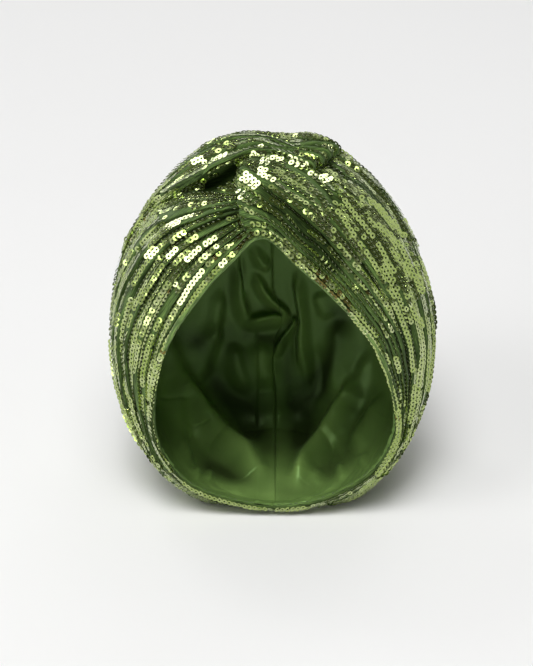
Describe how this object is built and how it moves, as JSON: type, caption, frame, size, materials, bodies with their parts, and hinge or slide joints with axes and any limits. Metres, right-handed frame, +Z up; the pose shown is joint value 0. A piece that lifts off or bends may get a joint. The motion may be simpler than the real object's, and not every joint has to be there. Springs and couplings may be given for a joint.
{
  "type": "twist-front turban",
  "caption": "Pull-on turban with pleated sequin drapes crossed in a front twist over a satin-lined cap, standing on its nape with the head opening forwards.",
  "frame": {"origin": "middle of the bounding box, on the surface that the nape rests on", "axes": "+Z up off the surface, -Y out of the face opening, +Y to the back of the head, +X to the right as seen from the front"},
  "size_m": [0.1878, 0.1606, 0.2289],
  "materials": {
    "sequin_cloth": "ribbed stretch cloth under sequins",
    "satin_lining": "satin, soft sheen",
    "edge_cloth": "matt knit, turned edge",
    "seam_cloth": "matt knit",
    "elastic": "woven elastic",
    "thread": "spun thread",
    "sequins": "metallised film, mirror-bright"
  },
  "bodies": {
    "root": {"left_drape": "sequin_cloth", "right_drape": "sequin_cloth", "left_twist_loop": "sequin_cloth", "right_twist_loop": "sequin_cloth", "back_panel_left": "sequin_cloth", "back_panel_right": "sequin_cloth", "nape_band": "sequin_cloth", "lining_left": "satin_lining", "lining_right": "satin_lining", "rim_facing_left": "edge_cloth", "rim_facing_right": "edge_cloth", "nape_elastic": "elastic", "centre_back_tape": "seam_cloth", "crown_seam_tape": "seam_cloth", "left_side_seam_tape": "seam_cloth", "right_side_seam_tape": "seam_cloth", "hem_stitches": "thread", "knot_tack_stitches": "thread", "sequins_left_drape": "sequins", "sequins_right_drape": "sequins", "sequins_knot": "sequins", "sequins_back": "sequins", "sequins_nape": "sequins"}
  },
  "joints": []
}
